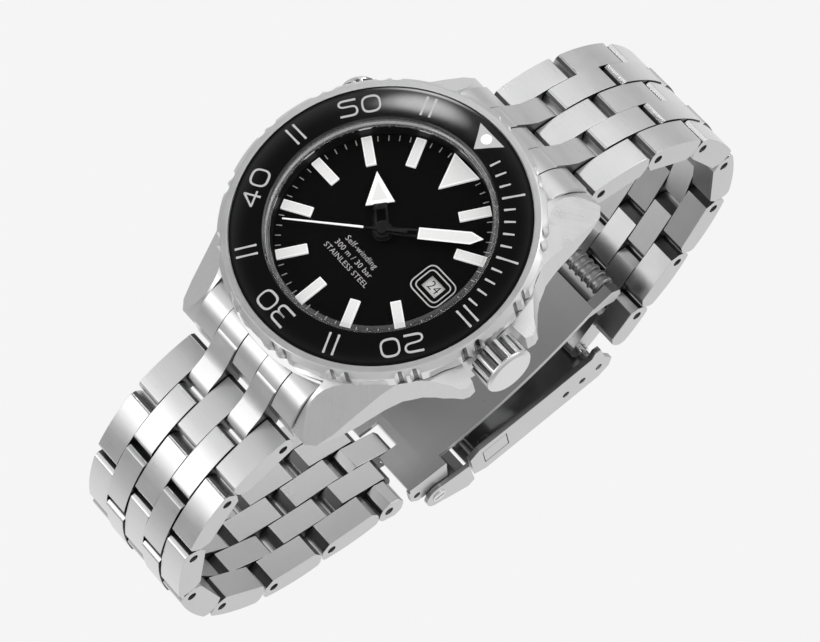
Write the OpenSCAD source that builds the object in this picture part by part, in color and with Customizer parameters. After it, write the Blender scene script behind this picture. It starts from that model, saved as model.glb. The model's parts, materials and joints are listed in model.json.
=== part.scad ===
// A steel diver's wristwatch: case, rotating bezel, movement, articulated bracelet and folding clasp.
// Units are millimetres. +Z leaves the dial, +Y is 12 o'clock, +X is 3 o'clock.
// The origin is the centre of the flat case back.

/* [Case] */
// Radius of the round middle of the case
case_r = 20.6; // [19:0.1:22]
// Height of the case top face, which the bezel turns on
case_top = 8.4; // [7:0.1:10]
// Height of the lower edge of the case side wall
wall_low = 3.2; // [2:0.1:5]
// Distance between the inner faces of a pair of lugs
lug_gap = 20.1; // [18:0.1:22]
// Distance from the dial axis to the lug tips
lug_reach = 24.9; // [22:0.1:27]
// Height of the crown's axis
crown_z = 7.0; // [5:0.1:8]
// Radius of the crown across its ribs
crown_r = 3.4; // [2.5:0.1:4]
// Distance from the dial axis to the crown's flat end
crown_reach = 24.8; // [23:0.1:27]

/* [Bezel] */
// Outer radius of the rotating bezel
bezel_r = 20.9; // [19:0.1:22]
// Outer radius of the black insert
insert_r = 19.3; // [18:0.1:20]
// Inner radius of the black insert
insert_hole_r = 14.9; // [14:0.1:16]
// Number of repeats of the grip pattern round the bezel
grip_repeats = 15; // [10:1:24]
// Radius of one grip notch
grip_r = 0.75; // [0.4:0.05:1.2]

/* [Dial] */
// Radius of the dial disc
dial_r = 14.6; // [13:0.1:15]
// Height of the dial's face
dial_z = 8.9; // [8:0.1:9.5]
// Length of an hour marker
marker_len = 4.1; // [3:0.1:5]
// Width of an hour marker
marker_w = 1.35; // [0.8:0.05:2]
// Distance from the dial axis to the middle of the date window
date_x = 9.9; // [8:0.1:11]
// Direction of the hour hand, clockwise from 12
hour_deg = 304.1; // [0:0.1:360]
// Direction of the minute hand, clockwise from 12
minute_deg = 48.7; // [0:0.1:360]
// Direction of the seconds hand, clockwise from 12
second_deg = 229.4; // [0:0.1:360]

/* [Bracelet] */
// Bracelet width at the lugs
wide_end = 19.9; // [18:0.1:22]
// Bracelet width at the clasp
narrow_end = 18.2; // [16:0.1:20]
// Thickness of a link
link_t = 3.8; // [3:0.1:5]
// Pin spacing inside a three-piece row
span_a = 6.5; // [5:0.1:8]
// Pin spacing inside a two-piece row
span_b = 3.5; // [2.5:0.1:5]
// Radius of a link pin
pin_r = 0.6; // [0.4:0.05:0.9]
// Radial running clearance round every pin
play = 0.06; // [0.02:0.01:0.1]
// Slit between neighbouring columns of links
slit = 0.12; // [0.05:0.01:0.3]

/* [Hidden] */
$fn = 64;
eps = 0.01;
// How far each link lies below the straight line when the loop is closed, in degrees
dips_12 = [14, 39, 66.5, 99, 133, 141, 142.5, 146];
dips_6 = [11, 40, 70.5, 102, 135, 161, 168, 154];
start_y = 26.3;
start_z = -1.5;
last_12 = 13;
last_6 = 14;
half_t = link_t / 2;
over_a = 1.6;
over_b = (span_a - 0.3) / 2;
short_a = 3.9;
over_short = (short_a - 0.3) / 2;
crown_back = 21.15;
bezel_low = 8.6;
bezel_top = 11.7;
neck_r = 16.6;
seat_z = 10.8;
crystal_top = 12.15;
bore_r = 14.75;
lug_bar_y = 22.5;
lug_bar_z = 1.9;
valve_deg = 300;
valve_z = 5.9;
cover_low = -52.2;
cover_half = 9.2;
cover_wall = 0.85;
roller_y = 26.5;
roller_z = -37.6;
fold_y = -0.6;
fold_z = -47.6;
flap_y = -8.0;
flap_z = -47.9;
blade_mid_y = -4;
blade_arc_r = 68;
blade_low_z = -43.2;

// ---- helpers ----

// Extrude a side-view outline (first axis Y, second axis Z) along X.
module along_x(x0, x1) {
    translate([x0, 0, 0])
        rotate([90, 0, 90])
            linear_extrude(x1 - x0)
                children();
}

// A rod along X.
module rod_x(x0, x1, y, z, r) {
    translate([x0, y, z])
        rotate([0, 90, 0])
            cylinder(h = x1 - x0, r = r);
}

// The same solid on both sides of the X = 0 plane.
module both_x() {
    children();
    mirror([1, 0, 0])
        children();
}

// The same solid on both sides of the Y = 0 plane.
module both_y() {
    children();
    mirror([0, 1, 0])
        children();
}

// Turn a thing that is made pointing to 12 o'clock to a clock direction.
module at_clock(deg) {
    rotate([0, 0, -deg])
        children();
}

// A large block that lies above the plane through three points.
module above_plane(p, q, s) {
    n = cross(q - p, s - p);
    up = n / (n[2] < 0 ? -norm(n) : norm(n));
    translate(p)
        rotate([0, acos(up[2]), atan2(up[1], up[0])])
            translate([-30, -30, 0])
                cube([60, 60, 20]);
}

// ---- case ----

function lug_top(y) = case_top - 7.8 * pow(max(y - 12, 0) / 13, 3);
function lug_low(y) = wall_low - 4.1 * pow(max(y - 10, 0) / 14.5, 1.6);

module lug_outline() {
    polygon([[lug_gap / 2, 9], [lug_gap / 2, lug_reach - 0.5], [lug_gap / 2 + 0.5, lug_reach],
        [12.9, lug_reach], [13.5, 23.9], [14.5, 21], [15.3, 17.6], [16.2, 14], [17.2, 11], [14, 7]]);
}

module guard_outline() {
    polygon([[16, 11], [18.3, 9.5], [19.4, 8.3], [21.2, 6.8], [22.3, 6.1], [22.7, 5.3],
        [22.5, 4.3], [20.8, 4.0], [17, 4.0]]);
}

module side_outline() {
    ys = [for (i = [0:24]) i * lug_reach / 24];
    polygon(concat([for (y = ys) [y, lug_top(y)]],
        [for (i = [24:-1:0]) [ys[i] - (i == 24 ? 0.5 : 0), lug_low(ys[i])]]));
}

module case_shell() {
    intersection() {
        translate([0, 0, -2])
            linear_extrude(case_top + 2)
                union() {
                    circle(case_r, $fn = 128);
                    both_y() both_x() lug_outline();
                    both_y() guard_outline();
                }
        both_y() along_x(-30, 30) side_outline();
    }
}

module lug_bevels() {
    both_x() both_y()
        above_plane([16.8, 12, 8.4], [13.3, 23.4, 1.9], [10.05, 20.2, 6.75]);
}

module guard_bevels() {
    both_y()
        above_plane([19.2, 8.6, 8.4], [22.5, 4.2, 7.3], [20.3, 4.2, 8.4]);
    both_y()
        mirror([0, 0, 1])
            above_plane([20.2, 7.2, -wall_low], [22.6, 4.2, -4.2], [20.6, 4.2, -wall_low]);
}

module case_body() {
    color("silver")
    difference() {
        union() {
            difference() {
                case_shell();
                lug_bevels();
                guard_bevels();
            }
            translate([0, 0, 1.7])
                cylinder(h = wall_low, r1 = 18.0, r2 = 19.0);
            translate([0, 0, case_top - 1])
                cylinder(h = 11.2 - case_top + 1, r = neck_r);
        }
        translate([0, 0, -3])
            cylinder(h = 13.4, r = bore_r);
        translate([0, 0, 9])
            cylinder(h = 4, r = 14.2);
        translate([0, 0, seat_z])
            cylinder(h = 4, r = 14.7);
        translate([0, 0, -3])
            cylinder(h = 4.7, r = 30);
        both_y()
            translate([-lug_gap / 2, case_r + 0.1, -4])
                cube([lug_gap, 8, 16]);
        both_y()
            translate([-lug_gap / 2, 17.5, -4])
                cube([lug_gap, 8, 4 + 6.9]);
        translate([20.9, -4.0, 0])
            cube([5, 8, 12]);
        rod_x(13, 24, 0, crown_z, 1.25);
        at_clock(valve_deg)
            translate([0, 14, valve_z])
                rotate([-90, 0, 0])
                    cylinder(h = 10, r = 0.7 + play);
        at_clock(valve_deg)
            translate([0, 20.2, valve_z])
                rotate([-90, 0, 0])
                    cylinder(h = 4, r = 2.6);
        both_y()
            rod_x(-11.3, 11.3, lug_bar_y, lug_bar_z, 0.5 + play);
    }
}

module case_back() {
    color("silver")
    difference() {
        union() {
            translate([0, 0, 0.35])
                cylinder(h = 1.35, r = 17.6);
            cylinder(h = 0.35, r1 = 17.1, r2 = 17.6);
            translate([0, 0, 1.6])
                cylinder(h = 1.0, r = bore_r - 0.05);
        }
        translate([0, 0, 1.1])
            cylinder(h = 4, r = 13.6);
        for (i = [0:5])
            rotate([0, 0, 60 * i + 30])
                translate([15.9, 0, -1])
                    cylinder(h = 1.7, r = 0.9);
    }
}

module crystal() {
    color([0.85, 0.92, 0.95, 0.35])
    union() {
        translate([0, 0, seat_z])
            cylinder(h = crystal_top - seat_z - 0.25, r = 14.65);
        translate([0, 0, crystal_top - 0.25])
            cylinder(h = 0.25, r1 = 14.65, r2 = 14.35);
    }
}

// ---- bezel ----

module grip_notches() {
    for (i = [0:grip_repeats - 1])
        rotate([0, 0, i * 360 / grip_repeats]) {
            for (s = [-2.6, 2.6])
                rotate([0, 0, s])
                    translate([0, bezel_r + 0.2, bezel_low - 1])
                        cylinder(h = 5, r = grip_r, $fn = 24);
            rotate([0, 0, 180 / grip_repeats])
                translate([0, bezel_r + 5.6, bezel_low - 1])
                    cylinder(h = 2.9, r = 6.0);
        }
}

module bezel() {
    color("silver")
    difference() {
        rotate_extrude($fn = 128)
            polygon([[neck_r + play, bezel_low], [bezel_r - 0.3, bezel_low],
                [bezel_r, bezel_low + 0.4], [bezel_r, bezel_top - 0.7],
                [bezel_r - 0.7, bezel_top], [insert_r + 0.1, bezel_top],
                [insert_r + 0.1, bezel_top - 0.35], [neck_r + play, bezel_top - 0.35]]);
        grip_notches();
    }
}

module bezel_insert() {
    color([0.05, 0.05, 0.05])
    translate([0, 0, bezel_top - 0.35])
        rotate_extrude($fn = 128)
            polygon([[insert_hole_r, 0], [insert_r, 0], [insert_r, 0.4], [insert_r - 0.15, 0.55],
                [insert_hole_r + 0.15, 0.55], [insert_hole_r, 0.4]]);
}

// ---- dial side ----

module dial() {
    color([0.04, 0.04, 0.04])
    difference() {
        translate([0, 0, dial_z - 0.4])
            cylinder(h = 0.4, r = dial_r);
        translate([0, 0, dial_z - 1])
            cylinder(h = 2, r = 1.1);
        translate([date_x - 1.35, -0.95, dial_z - 1])
            cube([2.7, 1.9, 2]);
    }
}

module hour_markers() {
    color("white")
    union() {
        for (h = [1, 2, 4, 5, 6, 7, 8, 9, 10, 11])
            at_clock(30 * h)
                translate([-marker_w / 2, 11.75 - marker_len / 2, dial_z])
                    cube([marker_w, marker_len, 0.4]);
        translate([0, 0, dial_z])
            linear_extrude(0.4)
                polygon([[0, 9.0], [2.45, 13.75], [-2.45, 13.75]]);
    }
}

module chapter_ring() {
    color([0.03, 0.03, 0.03])
    rotate_extrude($fn = 128)
        polygon([[14.05, dial_z], [14.6, dial_z], [14.6, seat_z - 0.42], [14.3, seat_z - 0.42],
            [14.05, dial_z + 0.35]]);
}

module hand_pipe(r_out, r_in, z0, z1) {
    translate([0, 0, z0])
        difference() {
            cylinder(h = z1 - z0, r = r_out, $fn = 32);
            translate([0, 0, -1])
                cylinder(h = z1 - z0 + 2, r = r_in, $fn = 32);
        }
}

module hour_hand() {
    color("white")
    union() {
        hand_pipe(0.95, 0.66, 7.0, 9.65);
        hand_pipe(1.35, 0.66, 9.45, 9.65);
        at_clock(hour_deg)
            translate([0, 0, 9.45])
                linear_extrude(0.2)
                    difference() {
                        union() {
                            polygon([[0, 8.5], [1.87, 3.95], [-1.87, 3.95]]);
                            translate([-0.85, 1.0])
                                square([1.7, 3.0]);
                        }
                        translate([-0.6, 1.5])
                            square([1.2, 1.75]);
                    }
    }
}

module minute_hand() {
    color("white")
    union() {
        hand_pipe(0.6, 0.36, 6.4, 10.05);
        hand_pipe(1.1, 0.36, 9.85, 10.05);
        at_clock(minute_deg)
            translate([0, 0, 9.85])
                linear_extrude(0.2)
                    difference() {
                        polygon([[0.5, 0.9], [0.55, 4.6], [0.75, 11.4], [0, 12.95], [-0.75, 11.4],
                            [-0.55, 4.6], [-0.5, 0.9]]);
                        translate([-0.27, 1.4])
                            square([0.54, 3.0]);
                    }
    }
}

module seconds_hand() {
    color("white")
    union() {
        translate([0, 0, 5.8])
            cylinder(h = 4.55, r = 0.3, $fn = 32);
        translate([0, 0, 10.23])
            cylinder(h = 0.22, r = 0.65, $fn = 32);
        at_clock(second_deg)
            translate([0, 0, 10.25])
                linear_extrude(0.12)
                    polygon([[0.2, -3.2], [0.14, 0], [0.07, 12.85], [-0.07, 12.85], [-0.14, 0],
                        [-0.2, -3.2]]);
    }
}

module date_disc() {
    color("white")
    translate([0, 0, 8.18])
        difference() {
            cylinder(h = 0.24, r = 12.5);
            translate([0, 0, -1])
                cylinder(h = 2, r = 6.4 + play);
        }
}

// ---- movement ----

module movement() {
    color([0.75, 0.7, 0.5])
    difference() {
        union() {
            translate([0, 0, 3.5])
                cylinder(h = 4.6, r = 13.0);
            translate([0, 0, 7.4])
                cylinder(h = 1.1, r = dial_r);
            translate([0, 0, 1.75])
                cylinder(h = 2, r = 0.8);
            translate([0, 0, 1.65])
                cylinder(h = 0.35, r = 1.15);
        }
        difference() {
            translate([0, 0, 8.1])
                cylinder(h = 1, r = 12.75);
            translate([0, 0, 8.0])
                cylinder(h = 0.46, r = 6.4);
        }
        translate([0, 0, 5.5])
            cylinder(h = 4, r = 0.95 + play);
        translate([6.4, -6.4, 3])
            cylinder(h = 1.9, r = 4.3);
        translate([6.4, -6.4, 3])
            cylinder(h = 3.2, r = 0.3 + play);
        rod_x(7.5, 15, 0, crown_z, pin_r + play);
    }
}

module rotor() {
    color([0.8, 0.8, 0.8])
    difference() {
        union() {
            translate([0, 0, 2.2])
                cylinder(h = 0.9, r = 3.2);
            intersection() {
                union() {
                    translate([0, 0, 2.35])
                        cylinder(h = 0.45, r = 12.6);
                    difference() {
                        translate([0, 0, 2.2])
                            cylinder(h = 1.0, r = 13.0);
                        translate([0, 0, 1])
                            cylinder(h = 4, r = 10.6);
                    }
                }
                translate([-14, -14, 0])
                    cube([28, 14, 5]);
            }
        }
        translate([0, 0, 0])
            cylinder(h = 5, r = 0.8 + play);
    }
}

module balance_wheel() {
    color([0.8, 0.7, 0.4])
    translate([6.4, -6.4, 3.75]) {
        difference() {
            cylinder(h = 0.5, r = 3.8);
            translate([0, 0, -1])
                cylinder(h = 3, r = 3.2);
        }
        for (i = [0:2])
            rotate([0, 0, 120 * i])
                translate([-0.2, 0, 0.1])
                    cube([0.4, 3.4, 0.3]);
        cylinder(h = 2.0, r = 0.3, $fn = 32);
        cylinder(h = 0.5, r = 0.8, $fn = 32);
    }
}

// ---- crown and valve ----

module fluted(r, length, flutes, groove_r) {
    difference() {
        union() {
            cylinder(h = length - 0.35, r = r);
            translate([0, 0, length - 0.35])
                cylinder(h = 0.35, r1 = r, r2 = r - 0.35);
        }
        for (i = [0:flutes - 1])
            rotate([0, 0, i * 360 / flutes])
                translate([r + groove_r * 0.25, 0, -1])
                    cylinder(h = length + 0.4, r = groove_r, $fn = 24);
    }
}

module crown() {
    color("silver")
    union() {
        difference() {
            translate([crown_back, 0, crown_z])
                rotate([0, 90, 0])
                    fluted(crown_r, crown_reach - crown_back, 14, 0.55);
            rod_x(20, 23.3, 0, crown_z, 1.8);
        }
        rod_x(8.2, 24, 0, crown_z, pin_r);
    }
}

module crown_tube() {
    color("silver")
    difference() {
        rod_x(14.8, 22.7, 0, crown_z, 1.25);
        rod_x(14, 24, 0, crown_z, pin_r + play);
    }
}

module crown_gasket() {
    color([0.1, 0.1, 0.1])
    difference() {
        rod_x(21.4, 22.1, 0, crown_z, 1.75);
        rod_x(21, 23, 0, crown_z, 1.25 + play);
    }
}

module helium_valve() {
    color("silver")
    at_clock(valve_deg)
        translate([0, 0, valve_z])
            rotate([-90, 0, 0])
                union() {
                    translate([0, 0, 20.9])
                        fluted(2.3, 2.5, 12, 0.42);
                    translate([0, 0, 16.0])
                        cylinder(h = 5.2, r = 0.7, $fn = 32);
                }
}

// ---- bracelet ----

// Direction below the straight line of segment k; even segments are three-piece rows.
function dip(d, k) = k % 2 == 0 ? d[k / 2] : (d[(k - 1) / 2] + d[(k + 1) / 2]) / 2;
function span(d, k) = k % 2 == 1 ? (k == last_12 && d == dips_12 ? 5.6 : span_b)
    : (k == 12 && d == dips_12 ? short_a : (k == last_6 ? 5.2 : span_a));
function pin_at(d, k) = k == 0 ? [start_y, start_z]
    : pin_at(d, k - 1) + span(d, k - 1) * [cos(dip(d, k - 1)), -sin(dip(d, k - 1))];
function row_width(k) = wide_end + (narrow_end - wide_end) * min(k, 13) / 13;

// Side view of a link whose first pin is at the origin, and which reaches past each pin.
module link_outline(length, over_first, over_second) {
    u0 = -over_first;
    u1 = length + over_second;
    intersection() {
        polygon([[u0 + 1.2, -half_t], [u1 - 1.2, -half_t], [u1 - 0.2, -0.9], [u1, -0.2], [u1, 0.9],
            [u1 - 0.25, 1.3], [u1 - 0.95, half_t], [u0 + 0.95, half_t], [u0 + 0.25, 1.3],
            [u0, 0.9], [u0, -0.2], [u0 + 0.2, -0.9]]);
        translate([length / 2, half_t - 24])
            circle(24, $fn = 128);
    }
}

// Put a segment of a bracelet half in its place in the closed loop.
module in_loop(d, k) {
    p = pin_at(d, k);
    translate([0, p[0], p[1]])
        rotate([-dip(d, k), 0, 0])
            children();
}

// Outer, centre and outer piece, held by two through pins.
module row_a(d, k) {
    w = row_width(k);
    c = w / 5;
    length = span(d, k);
    stub = k == last_6;
    color("silver")
    in_loop(d, k)
        difference() {
            union() {
                both_x()
                    along_x(w / 2 - c, w / 2)
                        link_outline(stub ? 0.9 : length, over_a, over_a);
                along_x(-c / 2, c / 2)
                    link_outline(length, over_a, over_a);
                rod_x(-w / 2 + 0.5, w / 2 - 0.5, 0, 0, pin_r);
                if (!stub)
                    rod_x(-w / 2 + 0.5, w / 2 - 0.5, length, 0, pin_r);
            }
            both_x()
                rod_x(w / 2 - 0.35, w / 2 + 1, 0, 0, pin_r + 0.05);
            if (stub)
                rod_x(-w, w, length, 0, 0.75 + play);
        }
}

// Two inner pieces that turn on the pins of the rows either side.
module row_b(d, k) {
    w = row_width(k);
    c = w / 5;
    length = span(d, k);
    last = k == last_12 && d == dips_12;
    before_short = k == 11 && d == dips_12;
    color("silver")
    in_loop(d, k)
        both_x()
            along_x(c / 2 + slit, 3 * c / 2 - slit)
                difference() {
                    if (last)
                        last_b_outline(length);
                    else
                        link_outline(length, over_b, before_short ? over_short : over_b);
                    circle(pin_r + play, $fn = 32);
                    translate([length, 0])
                        circle(last ? 0.75 + play : pin_r + play, $fn = 32);
                }
}

module last_b_outline(length) {
    intersection() {
        link_outline(length, over_short, 1.7);
        union() {
            translate([-5, -3])
                square([length + 5, 6]);
            translate([length, 0])
                circle(1.7);
        }
    }
}

module end_link() {
    w = wide_end;
    c = w / 5;
    color("silver")
    difference() {
        union() {
            along_x(-w / 2, w / 2)
                end_link_core();
            both_x()
                for (x = [0, 2 * c])
                    along_x(max(x - c / 2 + 0.05, 0), x + c / 2 - 0.05)
                        end_link_crown(0.25);
            both_x()
                along_x(c / 2 + 0.05, 3 * c / 2 - 0.05)
                    end_link_crown(0.35);
            both_x()
                along_x(c / 2 + slit, 3 * c / 2 - slit)
                    end_link_tongue();
        }
        translate([0, 0, -6])
            cylinder(h = 20, r = case_r + 0.25, $fn = 128);
        rod_x(-15, 15, lug_bar_y, lug_bar_z, 0.75 + play);
        rod_x(-15, 15, start_y, start_z, pin_r + play);
    }
}

function end_top(y) = 6.7 - 6.1 * pow(max(y - 19, 0) / 6.6, 2.2);

module end_link_core() {
    ys = [for (i = [0:12]) 18.5 + i * (24.3 - 18.5) / 12];
    polygon(concat([for (y = ys) [y, end_top(y) - 0.25]], [[24.3, -0.4], [23.2, -1.0], [18.5, 0.6]]));
}

module end_link_crown(rise) {
    ys = [for (i = [0:12]) 18.5 + i * (24.3 - 18.5) / 12];
    polygon(concat([for (y = ys) [y, end_top(y) - 0.25 + rise]], [[24.3, 0], [18.5, 2]]));
}

module end_link_tongue() {
    y1 = start_y + over_b;
    polygon([[22.4, -0.6], [24.6, start_z - half_t + 0.3], [y1 - 1.4, start_z - half_t],
        [y1 - 0.3, start_z - 1.0], [y1, start_z - 0.2], [y1 - 0.2, start_z + 0.9],
        [y1 - 1.0, start_z + 1.75], [26.3, start_z + 2.9], [24.8, 2.9], [23.4, 4.6], [21.5, 5.6]]);
}

module lug_bar() {
    color([0.6, 0.6, 0.6])
    union() {
        rod_x(-9.7, 9.7, lug_bar_y, lug_bar_z, 0.75);
        rod_x(-11.1, 11.1, lug_bar_y, lug_bar_z, 0.5);
    }
}

// ---- clasp ----

// Height of the end blade's lower face at a distance along the clasp.
function blade_z(y) = blade_low_z + blade_arc_r - sqrt(pow(blade_arc_r, 2) - pow(y - blade_mid_y, 2));
// Height of the middle blade between its two hinges.
function middle_z(y) = fold_z + (roller_z - fold_z)
    * pow((y - fold_y) / (roller_y - fold_y), 1.5);

module curved_strip(y0, y1, thick, kind) {
    ys = [for (i = [0:16]) y0 + i * (y1 - y0) / 16];
    polygon(concat([for (y = ys) [y, strip_z(y, kind)]],
        [for (i = [16:-1:0]) [ys[i], strip_z(ys[i], kind) + thick]]));
}

function strip_z(y, kind) = kind == 0 ? blade_z(y) : middle_z(y);

module cover_side_outline() {
    polygon([[-1.8, cover_low + 0.9], [0.2, cover_low], [20.6, cover_low],
        [22.6, cover_low + 0.9], [23.3, cover_low + 2.4], [22.3, cover_low + 4.2],
        [21.9, cover_low + 7.0], [20.9, cover_low + 7.2], [20.2, cover_low + 6.3],
        [12, cover_low + 6.2], [6, cover_low + 6.3], [0, cover_low + 6.5],
        [-1.8, cover_low + 5.6]]);
}

module cover_floor_outline() {
    polygon([[-1.8, cover_low + 0.9], [0.2, cover_low], [20.6, cover_low],
        [21.8, cover_low + 0.54], [21.6, cover_low + 0.8], [0.4, cover_low + 0.8],
        [-1.8, cover_low + 1.7]]);
}

module clasp_cover() {
    adjust = pin_at(dips_12, 14);
    color("silver")
    union() {
        difference() {
            both_x()
                along_x(cover_half - cover_wall, cover_half)
                    cover_side_outline();
            for (i = [0:2])
                rod_x(-12, 12, adjust[0] - 3 * i, adjust[1] - 0.15 * i, 0.5 + play);
            both_x()
                translate([5, 0.3, cover_low + 1.8])
                    cube([8, 4.3, 3.4]);
        }
        along_x(-cover_half, cover_half)
            cover_floor_outline();
        rod_x(-cover_half + 0.2, cover_half - 0.2, fold_y, fold_z, pin_r);
    }
}

module button() {
    color("silver")
    union() {
        translate([cover_half - 0.8, 0.4, cover_low + 1.9])
            cube([0.8, 4.1, 3.2]);
        translate([cover_half - 2.4, 1.0, cover_low + 2.9])
            cube([1.8, 1.6, 1.2]);
    }
}

module clasp_middle_blade() {
    color("silver")
    difference() {
        union() {
            along_x(-5.6, 5.6)
                curved_strip(fold_y, roller_y, 0.9, 1);
            rod_x(-5.6, 5.6, fold_y, fold_z, 1.3);
            rod_x(-5.4, 5.4, roller_y, roller_z, 1.4);
            for (i = [0:8])
                rod_x(-5.2 + 1.25 * i, -4.8 + 1.25 * i, roller_y, roller_z, 1.6);
        }
        rod_x(-9, 9, fold_y, fold_z, pin_r + play);
        rod_x(-9, 9, roller_y, roller_z, pin_r + play);
        translate([-2.6, 6, -60])
            cube([5.2, 9, 30]);
    }
}

module clasp_end_blade() {
    color("silver")
    difference() {
        union() {
            along_x(-7.3, 7.3)
                curved_strip(-11.6, 23.2, 0.9, 0);
            along_x(-8.9, 8.9)
                curved_strip(-11.6, -5.2, 0.9, 0);
            both_x()
                along_x(8.2, 8.9)
                    polygon([[-11.8, -42.6], [-11.9, -45.2], [-10.9, -46.4], [-9.6, -46.6],
                        [-9.0, -48.8], [-8.0, -49.2], [-7.0, -48.8], [-5.6, -46.4], [-5.2, -42.6]]);
            both_x()
                along_x(5.75, 7.3)
                    polygon([[22.2, blade_z(22.2)], [22.2, blade_z(22.2) + 0.9],
                        [roller_y, roller_z + 1.5], [roller_y + 1.3, roller_z + 0.6],
                        [roller_y + 1.3, roller_z - 0.6], [roller_y, roller_z - 1.4],
                        [roller_y - 1.2, roller_z - 0.8]]);
            rod_x(-7.2, 7.2, roller_y, roller_z, pin_r);
            both_x()
                rod_x(7.6, 9.6, flap_y, flap_z, pin_r);
        }
        translate([-2.2, -14, -60])
            cube([4.4, 5.6, 30]);
        rod_x(-9.2, 9.2, pin_at(dips_6, 15)[0] * -1, pin_at(dips_6, 15)[1], 0.55);
        translate([0, 9.5, -60])
            cylinder(h = 40, r = 2.6);
    }
}

module safety_flap() {
    color("silver")
    difference() {
        union() {
            both_x()
                along_x(9.0, 9.65)
                    union() {
                        translate([flap_y, flap_z])
                            circle(2.1);
                        polygon([[-8.4, flap_z + 2.05], [-2.4, flap_z + 1.2], [-2.2, cover_low + 1.4],
                            [-3.4, cover_low + 0.2], [-8.6, cover_low + 2.3]]);
                    }
            along_x(-9.65, 9.65)
                polygon([[-7.4, cover_low + 1.75], [-3.4, cover_low + 0.05], [-2.2, cover_low + 0.6],
                    [-2.2, cover_low + 1.3], [-3.5, cover_low + 0.8], [-7.3, cover_low + 2.38]]);
        }
        rod_x(-12, 12, flap_y, flap_z, pin_r + play);
    }
}

module adjust_bar() {
    adjust = pin_at(dips_12, 14);
    color([0.6, 0.6, 0.6])
    union() {
        rod_x(-6.2, 6.2, adjust[0], adjust[1], 0.75);
        rod_x(-cover_half + 0.25, cover_half - 0.25, adjust[0], adjust[1], 0.5);
    }
}

module end_bar() {
    p = pin_at(dips_6, 15);
    color([0.6, 0.6, 0.6])
    rod_x(-1.8, 1.8, -p[0], p[1], 0.75);
}

// ---- the assembly ----

case_body();  // case
case_back();
crystal();
bezel();
bezel_insert();
dial();
hour_markers();
chapter_ring();
hour_hand();
minute_hand();
seconds_hand();
date_disc();
movement();
rotor();
balance_wheel();
crown();
crown_tube();
crown_gasket();
helium_valve();
lug_bar();  // lug_bar_12
mirror([0, 1, 0]) lug_bar();  // lug_bar_6
end_link();  // end_link_12
mirror([0, 1, 0]) end_link();  // end_link_6
row_a(dips_12, 0);  // row12_a1
row_b(dips_12, 1);  // row12_b1
row_a(dips_12, 2);  // row12_a2
row_b(dips_12, 3);  // row12_b2
row_a(dips_12, 4);  // row12_a3
row_b(dips_12, 5);  // row12_b3
row_a(dips_12, 6);  // row12_a4
row_b(dips_12, 7);  // row12_b4
row_a(dips_12, 8);  // row12_a5
row_b(dips_12, 9);  // row12_b5
row_a(dips_12, 10);  // row12_a6
row_b(dips_12, 11);  // row12_b6
row_a(dips_12, 12);  // row12_a7
row_b(dips_12, 13);  // row12_b7
mirror([0, 1, 0]) row_a(dips_6, 0);  // row6_a1
mirror([0, 1, 0]) row_b(dips_6, 1);  // row6_b1
mirror([0, 1, 0]) row_a(dips_6, 2);  // row6_a2
mirror([0, 1, 0]) row_b(dips_6, 3);  // row6_b2
mirror([0, 1, 0]) row_a(dips_6, 4);  // row6_a3
mirror([0, 1, 0]) row_b(dips_6, 5);  // row6_b3
mirror([0, 1, 0]) row_a(dips_6, 6);  // row6_a4
mirror([0, 1, 0]) row_b(dips_6, 7);  // row6_b4
mirror([0, 1, 0]) row_a(dips_6, 8);  // row6_a5
mirror([0, 1, 0]) row_b(dips_6, 9);  // row6_b5
mirror([0, 1, 0]) row_a(dips_6, 10);  // row6_a6
mirror([0, 1, 0]) row_b(dips_6, 11);  // row6_b6
mirror([0, 1, 0]) row_a(dips_6, 12);  // row6_a7
mirror([0, 1, 0]) row_b(dips_6, 13);  // row6_b7
mirror([0, 1, 0]) row_a(dips_6, 14);  // row6_a8
clasp_cover();
clasp_middle_blade();
clasp_end_blade();
adjust_bar();
end_bar();
button();  // button_right
mirror([1, 0, 0]) button();  // button_left
safety_flap();
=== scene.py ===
"""A steel diver's wristwatch on a five-column bracelet, dressed with its finishes, some with
painted shade, sheen and glow.
"""

import json
import logging
import math
from contextlib import contextmanager
from dataclasses import dataclass, field
from enum import Enum
from typing import Any, Callable, Iterator, Sequence

import bpy
from mathutils import Matrix, Vector


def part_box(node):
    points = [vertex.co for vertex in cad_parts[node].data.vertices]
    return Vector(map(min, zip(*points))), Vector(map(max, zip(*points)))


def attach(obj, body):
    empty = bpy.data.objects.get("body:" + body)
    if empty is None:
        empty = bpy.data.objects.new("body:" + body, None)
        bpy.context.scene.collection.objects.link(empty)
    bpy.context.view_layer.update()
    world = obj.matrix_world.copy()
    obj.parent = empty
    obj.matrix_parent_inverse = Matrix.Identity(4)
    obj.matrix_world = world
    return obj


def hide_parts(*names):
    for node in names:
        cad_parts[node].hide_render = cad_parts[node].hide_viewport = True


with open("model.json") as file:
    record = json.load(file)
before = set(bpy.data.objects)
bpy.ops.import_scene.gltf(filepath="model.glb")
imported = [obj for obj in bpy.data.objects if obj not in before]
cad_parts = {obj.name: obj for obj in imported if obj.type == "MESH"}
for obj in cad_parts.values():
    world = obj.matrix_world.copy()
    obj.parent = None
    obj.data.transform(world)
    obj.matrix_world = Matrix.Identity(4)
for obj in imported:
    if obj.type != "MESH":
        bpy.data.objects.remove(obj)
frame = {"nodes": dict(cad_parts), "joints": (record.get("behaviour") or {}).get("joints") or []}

MM = 0.001
log = logging.getLogger("wristwatch")

Point = tuple[float, float]
Colour = tuple[float, float, float]


class Grain(Enum):
    """Which way the brush lines run on a steel face."""

    ACROSS = "across the bracelet"
    LENGTH = "along the bracelet"
    RADIAL = "away from the dial axis"
    RING = "round the dial axis"
    EVEN = "blasted, with no direction"


# ---- shader graphs ----


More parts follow.
